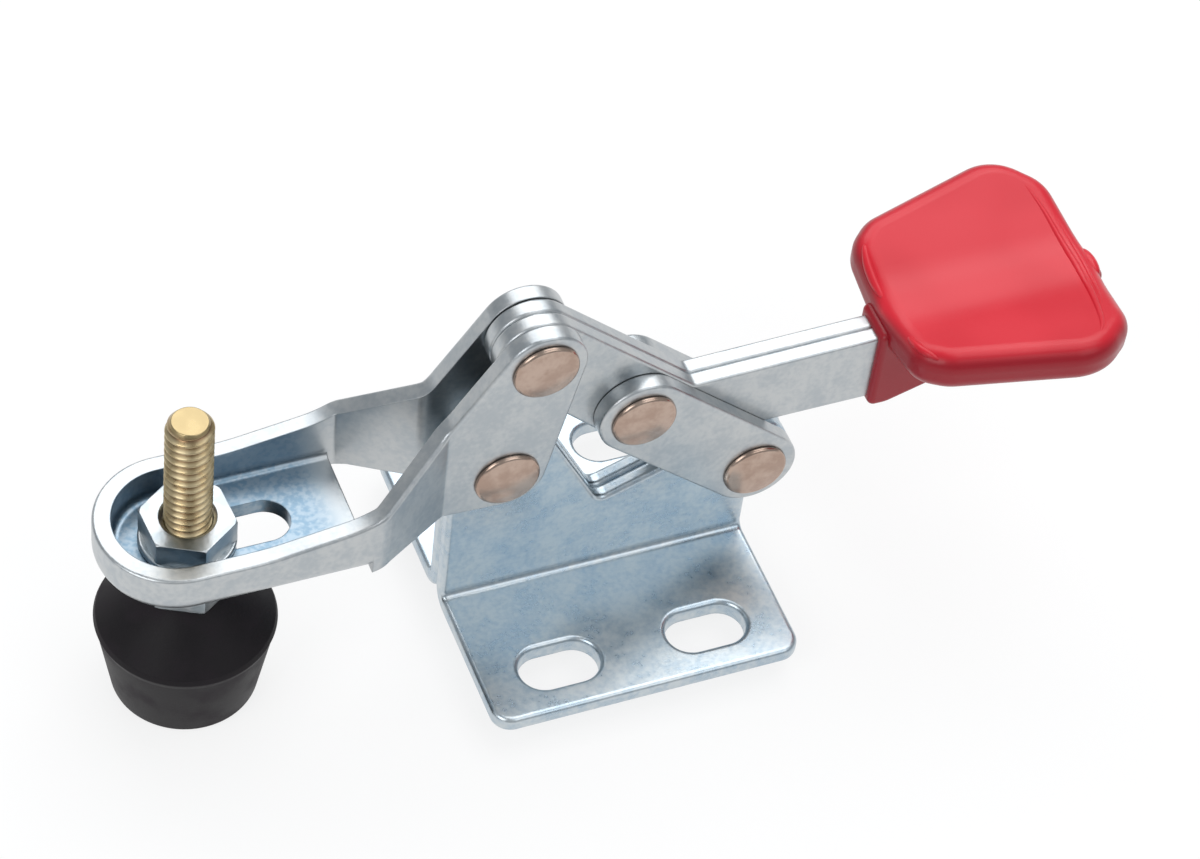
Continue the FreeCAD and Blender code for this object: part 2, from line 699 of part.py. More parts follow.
def washer(label, z):
    bore = d.spindle_radius + d.thread_gap
    body = turned(label, "XZ_Plane", [
        corner(bore, z), corner(d.washer_radius, z, d.washer_edge),
        corner(d.washer_radius, z + d.washer_thick, d.washer_edge), corner(bore, z + d.washer_thick)], "Z_Axis")
    body.setExpression("Placement.Base.x", d.spindle_x.text)
    return keep(label, body)


def nut(label, z, height):
    """A hexagon nut: a hexagonal prism inside a double cone, bored for the spindle."""
    prism = doc.addObject("Part::Prism", label + "_prism")
    prism.Polygon = 6
    prism.setExpression("Circumradius", f"({d.nut_flats.text} / sqrt(3))")
    prism.setExpression("Height", height.text)
    prism.Placement = FreeCAD.Placement(Vector(0, 0, 0), FreeCAD.Rotation(Vector(0, 0, 1), d.nut_turn.value))
    prism.setExpression("Placement.Base.x", d.spindle_x.text)
    prism.setExpression("Placement.Base.z", z.text)
    face = d.nut_flats * 0.55
    tall = d.nut_flats * 0.6
    drop = (tall - face) * CHAMFER_SLOPE
    top = z + height
    cone = turned(label + "_cone", "XZ_Plane", [
        corner(ZERO, z), corner(face, z), corner(tall, z + drop), corner(tall, top - drop),
        corner(face, top), corner(ZERO, top)], "Z_Axis")
    cone.setExpression("Placement.Base.x", d.spindle_x.text)
    blank = boolean("Common", label + "_blank", prism, cone)
    bore = d.spindle_radius + d.thread_gap
    sink = d.nut_sink
    drill = turned(label + "_bore", "XZ_Plane", [
        corner(ZERO, z - sink), corner(bore + 2 * sink, z - sink), corner(bore, z + sink),
        corner(bore, top - sink), corner(bore + 2 * sink, top + sink), corner(ZERO, top + sink)], "Z_Axis")
    drill.setExpression("Placement.Base.x", d.spindle_x.text)
    return keep(label, boolean("Cut", label, blank, drill))


def rubber_cap(nut_under_z):
    top = nut_under_z - d.cap_neck_gap
    body = turned("cap_form", "XZ_Plane", [
        corner(ZERO, d.cap_bottom_z), corner(d.cap_bottom_radius, d.cap_bottom_z, d.cap_edge),
        corner(d.cap_rim_radius, d.cap_rim_z, d.cap_edge), corner(d.cap_neck_radius, top, d.cap_edge),
        corner(ZERO, top)], "Z_Axis")
    body.setExpression("Placement.Base.x", d.spindle_x.text)
    return keep("rubber_cap", boolean("Cut", "rubber_cap", body, made["spindle"]))


# The whole clamp

for name, side in (("near", -1), ("far", 1)):
    base_half("base_" + name, side)
clamp_arm()
for name, side in (("near", -1), ("far", 1)):
    handle_plate("handle_plate_" + name, side)
    link("link_" + name, side)
grip_cover([made["handle_plate_near"], made["handle_plate_far"]])
rivet("rivet_base_arm", d.arm_pivot_x, d.arm_pivot_z)
rivet("rivet_arm_handle", d.top_pivot_x, d.top_pivot_z)
rivet("rivet_handle_link", d.knee_pivot_x, d.knee_pivot_z)
rivet("rivet_link_base", d.foot_pivot_x, d.foot_pivot_z, split=True)
spindle()
washer("washer_upper", floor_top_z)
washer("washer_lower", d.dish_bottom_z - d.washer_thick)
nut("nut_upper", floor_top_z + d.washer_thick, d.nut_upper_height)
nut_under = d.dish_bottom_z - d.washer_thick - d.nut_lower_height
nut("nut_lower", nut_under, d.nut_lower_height)
rubber_cap(nut_under)

doc.recompute()
faults = [f"{item.Name}: {item.State}" for item in doc.Objects
          if "Invalid" in item.State or "Error" in item.State]
for label, feature in made.items():
    shape = feature.Shape
    if shape.isNull() or not shape.isValid() or not shape.Solids:
        faults.append(f"{label}: no valid solid")
if faults:
    raise RuntimeError("\n".join(faults))

os.makedirs("parts", exist_ok=True)
for label, feature in made.items():
    feature.Shape.exportStep(f"parts/{label}.step")
    box = feature.Shape.BoundBox
    print(f"{label:20s} {len(feature.Shape.Solids)} solid(s) {feature.Shape.Volume:9.1f} mm3 "
          f"x {box.XMin:.1f}..{box.XMax:.1f} y {box.YMin:.1f}..{box.YMax:.1f} z {box.ZMin:.1f}..{box.ZMax:.1f}")
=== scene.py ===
# %% [markdown]
# A horizontal toggle clamp, dressed for a studio photograph. The stamped plates, the nuts, the washers and the
# dipped grip keep the exact solids they were packed with and only get a finish. The few pieces whose look
# lies in fine form are made here: the threaded screw, the headed rivets, the rubber foot and the grip's folds.

import math

import bpy
import numpy as np
from mathutils import Matrix, Vector


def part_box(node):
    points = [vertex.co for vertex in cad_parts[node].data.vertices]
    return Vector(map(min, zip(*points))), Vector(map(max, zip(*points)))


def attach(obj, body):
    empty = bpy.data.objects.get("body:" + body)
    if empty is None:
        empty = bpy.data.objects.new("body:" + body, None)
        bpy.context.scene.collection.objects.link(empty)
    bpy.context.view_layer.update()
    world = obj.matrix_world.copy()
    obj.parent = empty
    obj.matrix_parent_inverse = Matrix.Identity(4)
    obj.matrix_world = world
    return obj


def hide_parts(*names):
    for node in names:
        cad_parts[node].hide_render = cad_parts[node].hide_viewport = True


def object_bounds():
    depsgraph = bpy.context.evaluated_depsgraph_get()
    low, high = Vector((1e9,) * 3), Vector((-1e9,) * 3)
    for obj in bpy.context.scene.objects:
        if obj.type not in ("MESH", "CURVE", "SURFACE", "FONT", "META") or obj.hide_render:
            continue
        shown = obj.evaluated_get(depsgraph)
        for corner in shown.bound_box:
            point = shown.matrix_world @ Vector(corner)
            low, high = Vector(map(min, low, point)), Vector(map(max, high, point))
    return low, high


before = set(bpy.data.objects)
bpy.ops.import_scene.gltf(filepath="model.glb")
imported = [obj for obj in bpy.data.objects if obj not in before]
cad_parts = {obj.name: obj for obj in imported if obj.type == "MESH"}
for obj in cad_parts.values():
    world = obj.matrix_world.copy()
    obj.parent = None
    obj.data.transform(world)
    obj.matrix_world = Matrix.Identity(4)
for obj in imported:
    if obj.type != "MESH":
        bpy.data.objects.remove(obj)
cad_box = [list(corner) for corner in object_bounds()]
MM = 0.001
print("packed size in mm:", [round((high - low) / MM, 1) for low, high in zip(*cad_box)])

# %% [markdown]
# The camera looks down on the clamp from the front left. Its lens is long, so the plates keep their parallel
# edges. A viewpoint is easiest to read as two angles and a distance, with a third angle for the slight roll.
# The matrix is built from its three axes, because then no step depends on the order of rotations.

# %% Camera
AZIMUTH = math.radians(-27.425)
ELEVATION = math.radians(49.152)
ROLL = math.radians(8.2)
DISTANCE = 0.520
LENS = 118.31
TARGET = Vector((-0.484, 0.0, 27.402)) * MM
NEAREST_SEEN = 0.01

back = Vector((math.sin(AZIMUTH) * math.cos(ELEVATION), -math.cos(AZIMUTH) * math.cos(ELEVATION),
               math.sin(ELEVATION)))
level = Vector((math.cos(AZIMUTH), math.sin(AZIMUTH), 0.0))
rise = back.cross(level)
right = level * math.cos(ROLL) + rise * math.sin(ROLL)
up = rise * math.cos(ROLL) - level * math.sin(ROLL)
place = TARGET + back * DISTANCE

camera = bpy.data.objects.new("camera", bpy.data.cameras.new("camera"))
bpy.context.scene.collection.objects.link(camera)
camera.data.lens = LENS
camera.data.clip_start = NEAREST_SEEN
camera.matrix_world = Matrix([[right[i], up[i], back[i], place[i]] for i in range(3)] + [[0, 0, 0, 1]])
bpy.context.scene.camera = camera
bpy.context.scene.view_settings.view_transform = "Standard"
print("camera at", [round(v, 3) for v in place])

# %% [markdown]
# Shader nodes are easier to read as sums. A small class wraps a socket, and its operators add Math nodes, so
# that a line such as 0.3 + 0.1 * spots is the whole recipe. The reflected operators let a plain number come
# first, as in 1 - mask.


# %% A signal that adds its own Math nodes
class Signal:
    """A socket that carries a number. Each operator adds one Math node to its material."""

    def __init__(self, finish, socket):
        self.finish = finish
        self.socket = socket

    def __add__(self, other):
        return self.finish.maths("ADD", self, other)

    def __radd__(self, other):
        return self.finish.maths("ADD", other, self)

    def __sub__(self, other):
        return self.finish.maths("SUBTRACT", self, other)

    def __rsub__(self, other):
        return self.finish.maths("SUBTRACT", other, self)

    def __mul__(self, other):
        return self.finish.maths("MULTIPLY", self, other)

    def __rmul__(self, other):
        return self.finish.maths("MULTIPLY", other, self)


# %% [markdown]
# A second class holds one material. A single method makes every kind of node from its type, its settings and
# its inputs, and the short methods after it name the few nodes that all the finishes of the clamp share.


# %% One material
class Finish:
    """One material: a Principled shader, and the nodes that feed it."""

    def __init__(self, name, **fixed):
        """fixed sets the shader's own sockets, with an underscore for each space in a socket's name."""
        self.material = bpy.data.materials.new(name)
        self.material.use_nodes = True
        self.tree = self.material.node_tree
        self.shader = self.tree.nodes["Principled BSDF"]
        self.feed(**fixed)

    def plug(self, socket, value):
        """Links a signal to a socket, or sets the socket to a plain value."""
        if isinstance(value, Signal):
            self.tree.links.new(value.socket, socket)
        else:
            socket.default_value = value

    def node(self, kind, settings, inputs, output=0):
        """Makes a node, sets its type's own settings first, then its sockets, and gives one output."""
        made = self.tree.nodes.new(kind)
        for key, value in settings.items():
            setattr(made, key, value)
        for key, value in inputs.items():
            self.plug(made.inputs[key], value)
        return Signal(self, made.outputs[output])

    def maths(self, operation, first, second=0.0):
        """One Math node on numbers. An operation on a single number leaves the second at 0."""
        return self.node("ShaderNodeMath", {"operation": operation}, {0: first, 1: second})

    def where(self):
        """The point of the surface in the part's own frame."""
        return self.node("ShaderNodeTexCoord", {}, {}, "Object")

    def axis(self, letter):
        """One coordinate of that point, in metres."""
        return self.node("ShaderNodeSeparateXYZ", {}, {0: self.where()}, letter)

    def noise(self, size, detail=2.0):
        """Soft noise whose blotches are about size metres across."""
        return self.node("ShaderNodeTexNoise", {},
                         {"Vector": self.where(), "Scale": 1.0 / size, "Detail": detail})

    def between(self, signal, low, high):
        """Maps a signal from low..high to 0..1, with a soft start and end."""
        return self.node("ShaderNodeMapRange", {"interpolation_type": "SMOOTHSTEP"},
                         {"Value": signal, "From Min": low, "From Max": high})

    def blend(self, factor, first, second):
        """A colour between two colours."""
        return self.node("ShaderNodeMix", {"data_type": "RGBA"}, {0: factor, 6: first, 7: second}, 2)

    def bump(self, height, depth, normal=None):
        """A bump of depth metres where height runs from 0 to 1."""
        inputs = {"Height": height, "Distance": depth, "Strength": 1.0}
        if normal is not None:
            inputs["Normal"] = normal
        return self.node("ShaderNodeBump", {}, inputs)

    def rounded(self, radius):
        """A normal that turns over sharp edges, as if the die had rolled them."""
        return self.node("ShaderNodeBevel", {"samples": 6}, {"Radius": radius})

    def feed(self, **sockets):
        """Fills the shader's sockets and gives the material."""
        for key, value in sockets.items():
            self.plug(self.shader.inputs[key.replace("_", " ")], value)
        return self.material


# %% [markdown]
# Colours are picked as they look on a screen, from 0 to 255. A shader adds up light, so it takes linear values
# instead, and the screen's own curve, undone, leads from one to the other. Noise rarely reaches 0 or 1, so the
# recipes stretch its middle, and most of them stretch the same soft band.


# %% Colours
def rgb(red, green, blue):
    """A screen colour in linear values: a straight line near black, and a power of 2.4 above it."""
    share = np.array([red, green, blue]) / 255.0
    linear = np.where(share <= 0.04045, share / 12.92, ((share + 0.055) / 1.055) ** 2.4)
    return (*linear.tolist(), 1.0)


SOFT_BAND = (0.36, 0.64)
print("middle grey in linear values:", [round(value, 3) for value in rgb(128, 128, 128)])

# %% [markdown]
# The plates are zinc plated steel: a thin bright coat with a bluish cast over a surface that the rolling mill
# left slightly uneven. One flat metal would look like plastic, because real plating shows soft clouds. So the
# colour drifts between a cool and a pale grey, the gloss drifts with it, and two bumps bend the reflections:
# a slow one a few millimetres across and a fine grain. The edges turn over by the die's own small radius.
#
# The base halves were passivated in a bluer bath than the moving plates, so they get the same recipe in blue.
# Inside the arm's dish the bath pooled and left a blue, speckled film. A point is in the dish when it is closer
# to the line behind the nose's centre than the wall's inner face is, and in front of the floor's rear end.

# %% Zinc plate
PLATE_GREYS = (rgb(176, 182, 186), rgb(194, 197, 198))
BASE_GREYS = (rgb(170, 186, 198), rgb(198, 206, 210))
POOLED_BLUE = rgb(118, 142, 160)
NOSE_CENTRE = -58.8 * MM
DISH_INSIDE = 8.3 * MM
DISH_END = -35.0 * MM
FILM_FADE = 6.0 * MM


def in_the_dish(finish):
    """1 inside the dish and 0 outside, from the plan distance to the line that starts at the nose's centre:
    the root of y squared plus the square of what x lies ahead of that centre."""
    ahead = finish.maths("MINIMUM", finish.axis("X") - NOSE_CENTRE, 0.0)
    side = finish.axis("Y")
    apart = finish.maths("SQRT", ahead * ahead + side * side)
    walls = finish.between(apart, DISH_INSIDE - 0.2 * MM, DISH_INSIDE + 0.1 * MM)
    rear = finish.between(finish.axis("X"), DISH_END - FILM_FADE, DISH_END)
    return (1 - walls) * (1 - rear)


def zinc(name, greys, roughness=0.24, film=None):
    """Plated steel whose colour drifts between two greys, with a film's colour in the dish."""
    finish = Finish(name, Metallic=1.0)
    clouds = finish.noise(3.6 * MM, detail=4.0)
    specks = finish.noise(0.8 * MM, detail=3.0)
    grain = finish.noise(0.3 * MM)
    drift = finish.between(clouds * 0.55 + specks * 0.45, *SOFT_BAND)
    slow = finish.bump(clouds, depth=0.03 * MM, normal=finish.rounded(0.25 * MM))
    fine = finish.bump(grain, depth=0.008 * MM, normal=slow)
    colour = finish.blend(drift, *greys)
    if film is not None:
        # The film covers at least 65% everywhere, and mostly the specks decide where it is full.
        pooled = finish.between(clouds * 0.3 + specks * 0.7, 0.40, 0.60) * 0.35 + 0.65
        colour = finish.blend(in_the_dish(finish) * pooled, colour, film)
    return finish.feed(Base_Color=colour, Roughness=roughness + 0.10 * clouds + 0.08 * specks, Normal=fine)


FINISHES = {
    "zinc_plate": zinc("zinc_plate", PLATE_GREYS),
    "zinc_arm": zinc("zinc_arm", PLATE_GREYS, film=POOLED_BLUE),
    "zinc_base": zinc("zinc_base", BASE_GREYS, roughness=0.20),
}
print("zinc finishes:", list(FINISHES))

# %% [markdown]
# The rivets are plain steel pins whose ends were headed over, so their heads are browner than the plating. The
# heading tool leaves soft shallow dents, which one slow bump gives. The nuts are bright plain zinc, and they
# were tumbled in the bath, so their own slow bump is stronger than that of the plates.


# %% Rivet steel and plain nuts
def rivet_steel():
    """Bare steel in two browns, clouded and a little dented."""
    finish = Finish("rivet_steel", Metallic=1.0)
    clouds = finish.noise(2.6 * MM)
    specks = finish.noise(0.6 * MM, detail=3.0)
    drift = finish.between(clouds * 0.75 + specks * 0.25, *SOFT_BAND)
    dents = finish.bump(clouds, depth=0.025 * MM)
    fine = finish.bump(finish.noise(0.3 * MM), depth=0.006 * MM, normal=dents)
    colour = finish.blend(drift, rgb(168, 145, 131), rgb(186, 165, 151))
    return finish.feed(Base_Color=colour, Roughness=0.18 + 0.08 * clouds, Normal=fine)


def nut_zinc():
    """Plain zinc in two greys on small tumbled parts."""
    finish = Finish("nut_zinc", Metallic=1.0)
    clouds = finish.noise(2.5 * MM, detail=3.0)
    colour = finish.blend(finish.between(clouds, *SOFT_BAND), rgb(168, 178, 184), rgb(196, 200, 202))
    slow = finish.bump(clouds, depth=0.08 * MM, normal=finish.rounded(0.2 * MM))
    fine = finish.bump(finish.noise(0.25 * MM), depth=0.010 * MM, normal=slow)
    return finish.feed(Base_Color=colour, Roughness=0.24 + 0.16 * clouds, Normal=fine)


FINISHES["rivet_steel"] = rivet_steel()
FINISHES["nut_zinc"] = nut_zinc()
print("finishes so far:", list(FINISHES))

# %% [markdown]
# The screw is yellow passivated zinc. Its colour turns a darker brown in the thread's roots, so it also follows
# the distance from the screw's own axis: the length of the point's x and y, measured from that axis, says
# whether it lies on a crest or in a root. The flat tip is rubbed paler than both, and only its height tells it
# apart.

# %% Yellow zinc of the screw
screw_low, screw_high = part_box("spindle")
SCREW_X, SCREW_Y = (screw_low.x + screw_high.x) / 2, (screw_low.y + screw_high.y) / 2
CREST = 3.15 * MM
THREAD_DEPTH = 0.72 * MM
ROOT_BROWN = rgb(106, 72, 52)
TIP_YELLOW = rgb(172, 154, 116)


def yellow_zinc():
    """Yellow zinc that is darker brown in the thread's roots and pale on the tip."""
    finish = Finish("yellow_zinc", Metallic=1.0)
    clouds = finish.between(finish.noise(1.8 * MM, detail=3.0), 0.35, 0.65)
    yellow = finish.blend(clouds, rgb(178, 158, 120), rgb(200, 184, 148))
    across = finish.node("ShaderNodeVectorMath", {"operation": "MULTIPLY_ADD"},
                         {0: finish.where(), 1: (1.0, 1.0, 0.0), 2: (-SCREW_X, -SCREW_Y, 0.0)})
    reach = finish.node("ShaderNodeVectorMath", {"operation": "LENGTH"}, {0: across}, "Value")
    crests = finish.between(reach, CREST - THREAD_DEPTH, CREST - 0.25 * THREAD_DEPTH)
    threads = finish.blend(crests * 0.8 + 0.2, ROOT_BROWN, yellow)
    tip = finish.between(finish.axis("Z"), screw_high.z - 0.5 * MM, screw_high.z - 0.2 * MM)
    fine = finish.bump(finish.noise(0.25 * MM), depth=0.006 * MM)
    return finish.feed(Base_Color=finish.blend(tip, threads, TIP_YELLOW), Roughness=0.26 + 0.10 * clouds,
                       Normal=fine)


FINISHES["yellow_zinc"] = yellow_zinc()
print("screw axis in mm:", round(SCREW_X / MM, 2), round(SCREW_Y / MM, 2))

# %% [markdown]
# Moulded rubber is almost black and matt, with a fine tooth from the mould and a paler bloom that gathers in
# soft patches. Dipped vinyl is the opposite: a thick glossy skin with a slow waviness where it ran before it
# set. Its wing tops stay a bright red, and the sides, the edges and the web get a deeper red, which is painted
# shade where less light falls. The two wings of the grip rise from its middle at one slope, so the depth below
# them is a sum of y and z.

# %% Rubber and vinyl
WING_TOP = 38.9 * MM
WING_SLOPE = 0.268
PAINTED_SHADE_FROM = 1.7 * MM


def black_rubber():
    """Matt black with a paler bloom and the mould's tooth."""
    finish = Finish("black_rubber", Metallic=0.0, Specular_IOR_Level=0.24)
    bloom = finish.between(finish.noise(5 * MM, detail=4.0), 0.40, 0.75)
    tooth = finish.bump(finish.noise(0.22 * MM, detail=3.0), depth=0.02 * MM)
    colour = finish.blend(bloom, rgb(15, 10, 15), rgb(30, 23, 29))
    return finish.feed(Base_Color=colour, Roughness=0.52 + 0.16 * bloom, Normal=tooth)


def red_vinyl():
    """Bright reds on the wings' tops, a deep red below as painted shade; depth is the wing's height less z."""
    finish = Finish("red_vinyl", Metallic=0.0, Coat_Roughness=0.22, Specular_IOR_Level=0.30)
    flow = finish.noise(14 * MM, detail=1.0)
    skin = finish.noise(0.6 * MM)
    lit = finish.blend(finish.between(flow, 0.35, 0.65), rgb(204, 24, 42), rgb(212, 34, 50))
    depth = WING_TOP + WING_SLOPE * finish.maths("ABSOLUTE", finish.axis("Y")) - finish.axis("Z")
    # The deep red is painted shade: it darkens the sides, the edges and the web below the wing tops.
    colour = finish.blend(finish.between(depth, 0.0, PAINTED_SHADE_FROM), lit, rgb(150, 12, 30))
    slow = finish.bump(flow, depth=0.25 * MM)
    fine = finish.bump(skin, depth=0.012 * MM, normal=slow)
    return finish.feed(Base_Color=colour, Roughness=0.30 + 0.10 * skin, Coat_Weight=0.10 + 0.16 * flow,
                       Normal=fine)


FINISHES["black_rubber"] = black_rubber()
FINISHES["red_vinyl"] = red_vinyl()
print("all finishes:", sorted(FINISHES))

# %% [markdown]
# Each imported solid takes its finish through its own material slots, so its mesh is never touched. A table from
# finish to solids is the shortest way to say it, and it reads like a plater's job card.

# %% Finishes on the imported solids
FINISH_OF = {
    "zinc_base": ("base_near", "base_far"),
    "zinc_arm": ("clamp_arm",),
    "zinc_plate": ("handle_plate_near", "handle_plate_far", "link_near", "link_far"),
    "nut_zinc": ("nut_upper", "nut_lower", "washer_upper", "washer_lower"),
    "red_vinyl": ("grip_cover",),
}
for finish, names in FINISH_OF.items():
    for name in names:
        for material_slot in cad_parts[name].material_slots:
            material_slot.material = FINISHES[finish]
print("dressed solids:", sum(len(names) for names in FINISH_OF.values()))

# %% [markdown]
# All the new pieces are closed skins: a row of rings between two poles, like a globe pulled into another shape.
# So one function makes every mesh from a grid of points, worked out at once as an array. A turned piece is the
# simplest such grid, one profile carried round an axis, and it is the product of that profile and a circle.


# %% Surfaces from arrays
def surface(name, points):
    """A closed mesh from a grid of points with shape (rows, columns, 3). The columns join round, and the first
    and last row are single points, so each becomes one vertex that a fan of triangles meets."""
    rings = points[1:-1].reshape(-1, 3)
    here = 1 + np.arange(len(rings)).reshape(-1, points.shape[1])
    ahead = np.roll(here, -1, axis=1)
    first_pole = np.zeros_like(here[0])
    last_pole = first_pole + len(rings) + 1
    first_fan = np.stack([first_pole, ahead[0], here[0]], axis=-1)
    quads = np.stack([here[:-1], ahead[:-1], ahead[1:], here[1:]], axis=-1).reshape(-1, 4)
    last_fan = np.stack([here[-1], ahead[-1], last_pole], axis=-1)
    mesh = bpy.data.meshes.new(name)
    mesh.from_pydata(np.concatenate([points[:1, 0], rings, points[-1:, 0]]).tolist(), [],
                     first_fan.tolist() + quads.tolist() + last_fan.tolist())
    mesh.validate()
    mesh.polygons.foreach_set("use_smooth", [True] * len(mesh.polygons))
    made = bpy.data.objects.new(name, mesh)
    bpy.context.scene.collection.objects.link(made)
    return made


def turned(profile, columns):
    """Carries (radius, height) round the Z axis: x and y are the radius times cosine and sine of the angle."""
    angle = np.linspace(0, 2 * math.pi, columns, endpoint=False)
    radius, height = profile[:, 0, None], profile[:, 1, None]
    return np.stack([radius * np.cos(angle), radius * np.sin(angle), height + 0 * angle], axis=-1)


def dress(piece, body, finish, *nodes):
    """Gives a new piece its finish, its body and the solids that it stands for."""
    piece.data.materials.append(FINISHES[finish])
    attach(piece, body)
    if nodes:
        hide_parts(*nodes)
    print(piece.name, "has", len(piece.data.polygons), "faces")


# %% [markdown]
# The screw's thread is a helix, so its radius is a function of angle and height together: where a point lies
# along the pitch tells whether it is on a crest, a flank or a root. The Screw modifier could wind a profile
# into a helix, but its ends would need cuts, and a function gives the run-out and the tip in one surface. A
# sharp V would shimmer, and real plated threads have flat crests and round roots, so the wave is a clipped
# triangle. Near the tip the chamfer's cone cuts the crests, which the smaller of the two radii gives.

# %% Screw
PITCH = 1.27 * MM
SCREW_COLUMNS = 48
ROWS_PER_TURN = 12
WAVE_STRETCH = 1.35
WAVE_CUT = 0.18
HEAD_RADIUS = (screw_high.x - screw_low.x) / 2
HEAD_HEIGHT = 4.0 * MM
TIP_CHAMFER = 0.8 * MM
TIP_SLOPE = 0.72
TIP_RINGS = np.array([[0.96, 0.0], [0.6, 0.04 * MM], [0.0, 0.04 * MM]])


def screw_points():
    """Radius is the crest less the depth times a clipped triangle wave of height over pitch less angle over a
    full turn, and the wave fades in over the first turn. The tip's cone caps the radius. Each of the tip's
    rings is a share of its radius and the ring's drop, because the end is slightly hollow."""
    foot = screw_low.z + HEAD_HEIGHT
    count = int((screw_high.z - foot) / PITCH * ROWS_PER_TURN)
    height = np.linspace(foot, screw_high.z, count)[:, None]
    angle = np.linspace(0, 2 * math.pi, SCREW_COLUMNS, endpoint=False)[None, :]
    phase = (height / PITCH - angle / (2 * math.pi)) % 1.0
    groove = np.clip((1 - np.abs(2 * phase - 1)) * WAVE_STRETCH - WAVE_CUT, 0, 1)
    groove = groove * np.clip((height - foot) / PITCH, 0, 1)
    cone = CREST - TIP_CHAMFER + (screw_high.z - height) * TIP_SLOPE
    radius = np.minimum(CREST - THREAD_DEPTH * groove, cone)
    threads = np.stack([radius * np.cos(angle), radius * np.sin(angle), height + 0 * angle], axis=-1)
    head = np.array([[0, screw_low.z], [HEAD_RADIUS, screw_low.z], [HEAD_RADIUS, foot]])
    tip = np.column_stack([(CREST - TIP_CHAMFER) * TIP_RINGS[:, 0], screw_high.z - TIP_RINGS[:, 1]])
    points = np.concatenate([turned(head, SCREW_COLUMNS), threads, turned(tip, SCREW_COLUMNS)])
    return points + np.array([SCREW_X, SCREW_Y, 0])


dress(surface("screw", screw_points()), "spindle", "yellow_zinc", "spindle")

# %% [markdown]
# The foot is one turned moulding: a truncated cone for the pad, a rim with a moulded edge, and a shorter cone
# up to the neck, with a bore round the screw. The Spin tool could turn it as well, but a profile that is
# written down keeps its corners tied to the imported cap. Rubber leaves no sharp corner, so each one gets a
# fillet, and the pad's cone ends in a shallow lip at the rim.

# %% Rubber foot
foot_low, foot_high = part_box("rubber_cap")
foot_middle = (foot_low + foot_high) / 2
rim_radius = (foot_high.x - foot_low.x) / 2
RIM_Z = 9.8 * MM
PAD_RADIUS = 9.75 * MM
NECK_RADIUS = 5.2 * MM
BORE_RADIUS = 3.4 * MM
BORE_FLOOR = screw_low.z + HEAD_HEIGHT + 0.1 * MM
FOOT_COLUMNS = 96
FOOT_CORNERS = [
    (0.0, foot_low.z, 0),
    (PAD_RADIUS, foot_low.z, 0.9 * MM),
    (rim_radius - 0.25 * MM, RIM_Z - 1.3 * MM, 0.5 * MM),
    (rim_radius + 0.05 * MM, RIM_Z - 0.4 * MM, 0.3 * MM),
    (rim_radius - 0.25 * MM, RIM_Z + 0.35 * MM, 0.3 * MM),
    (NECK_RADIUS, foot_high.z, 0.6 * MM),
    (BORE_RADIUS, foot_high.z, 0),
    (BORE_RADIUS, BORE_FLOOR, 0),
    (0.0, BORE_FLOOR, 0),
]


def rounded_profile(corners, steps=6):
    """Replaces each (radius, height, fillet) corner by an arc: the arc's centre lies on the bisector, at
    fillet divided by the sine of half the corner's angle, and its points turn evenly between the tangents."""
    table = np.array(corners, float)
    spots, fillets = table[:, :2], table[:, 2]
    run = []
    for i, (here, fillet) in enumerate(zip(spots, fillets)):
        if fillet == 0:
            run.append(here[None, :])
            continue
        to_last = (spots[i - 1] - here) / np.linalg.norm(spots[i - 1] - here)
        to_next = (spots[i + 1] - here) / np.linalg.norm(spots[i + 1] - here)
        half = math.acos(float(np.clip(to_last @ to_next, -1, 1))) / 2
        middle = to_last + to_next
        centre = here + middle / np.linalg.norm(middle) * fillet / math.sin(half)
        begin = here + to_last * fillet / math.tan(half) - centre
        end = here + to_next * fillet / math.tan(half) - centre
        first, last = math.atan2(begin[1], begin[0]), math.atan2(end[1], end[0])
        sweep = (last - first + math.pi) % (2 * math.pi) - math.pi
        angle = first + sweep * np.linspace(0, 1, steps)
        run.append(centre + fillet * np.stack([np.cos(angle), np.sin(angle)], axis=1))
    return np.concatenate(run)


foot_points = turned(rounded_profile(FOOT_CORNERS), FOOT_COLUMNS) + np.array([foot_middle.x, foot_middle.y, 0])
dress(surface("rubber_foot", foot_points), "spindle", "black_rubber", "rubber_cap")

# %% [markdown]
# A spun rivet head is a low dome with a rounded rim that stands off the plate by a hair. The pin and both heads
# are one turned piece, so its profile runs from one face through the shank to the other, and the surface is
# then laid on its side, along Y. Half a profile is enough, because its mirror image is the other head. The
# links hang on two short stubs instead of one pin, because the handle's plates swing between them, so there
# the half profile closes at the stub's inner end.

# %% Rivets
CROWN = 0.45 * MM
RIM_ROUND = 0.62 * MM
UNDERCUT = 0.12 * MM
SHANK = 2.5 * MM
OUTER_FACE = 4.95 * MM
ARCH_POINTS, RIM_POINTS = 8, 7
RIVET_COLUMNS = 72
MIRROR = np.array([1, -1])
RIVETS = {"rivet_base_arm": "base", "rivet_arm_handle": "bar", "rivet_handle_link": "handle"}
STUBS = "rivet_link_base"


def head_profile(face, radius):
    """Half a rivet from its crown to the shank: the face falls with the square of the share of the way out,
    a quarter circle rounds the rim, and the underside steps in to the shank at the plates' outer face."""
    flat = radius - RIM_ROUND
    share = np.linspace(0, 1, ARCH_POINTS)
    arch = np.stack([flat * share, face - CROWN * share ** 2], axis=1)
    angle = np.linspace(math.pi / 2, 0, RIM_POINTS)[1:]
    rim = np.stack([flat + RIM_ROUND * np.cos(angle),
                    face - CROWN - RIM_ROUND + RIM_ROUND * np.sin(angle)], axis=1)
    return np.concatenate([arch, rim, [[radius - UNDERCUT, OUTER_FACE], [SHANK, OUTER_FACE]]])


def laid(profile, centre):
    """A turned form laid along Y: its height becomes y, so x and z hold the circle."""
    ring = turned(profile, RIVET_COLUMNS)
    return np.stack([ring[..., 0], ring[..., 2], -ring[..., 1]], axis=-1) + np.array([centre.x, 0, centre.z])


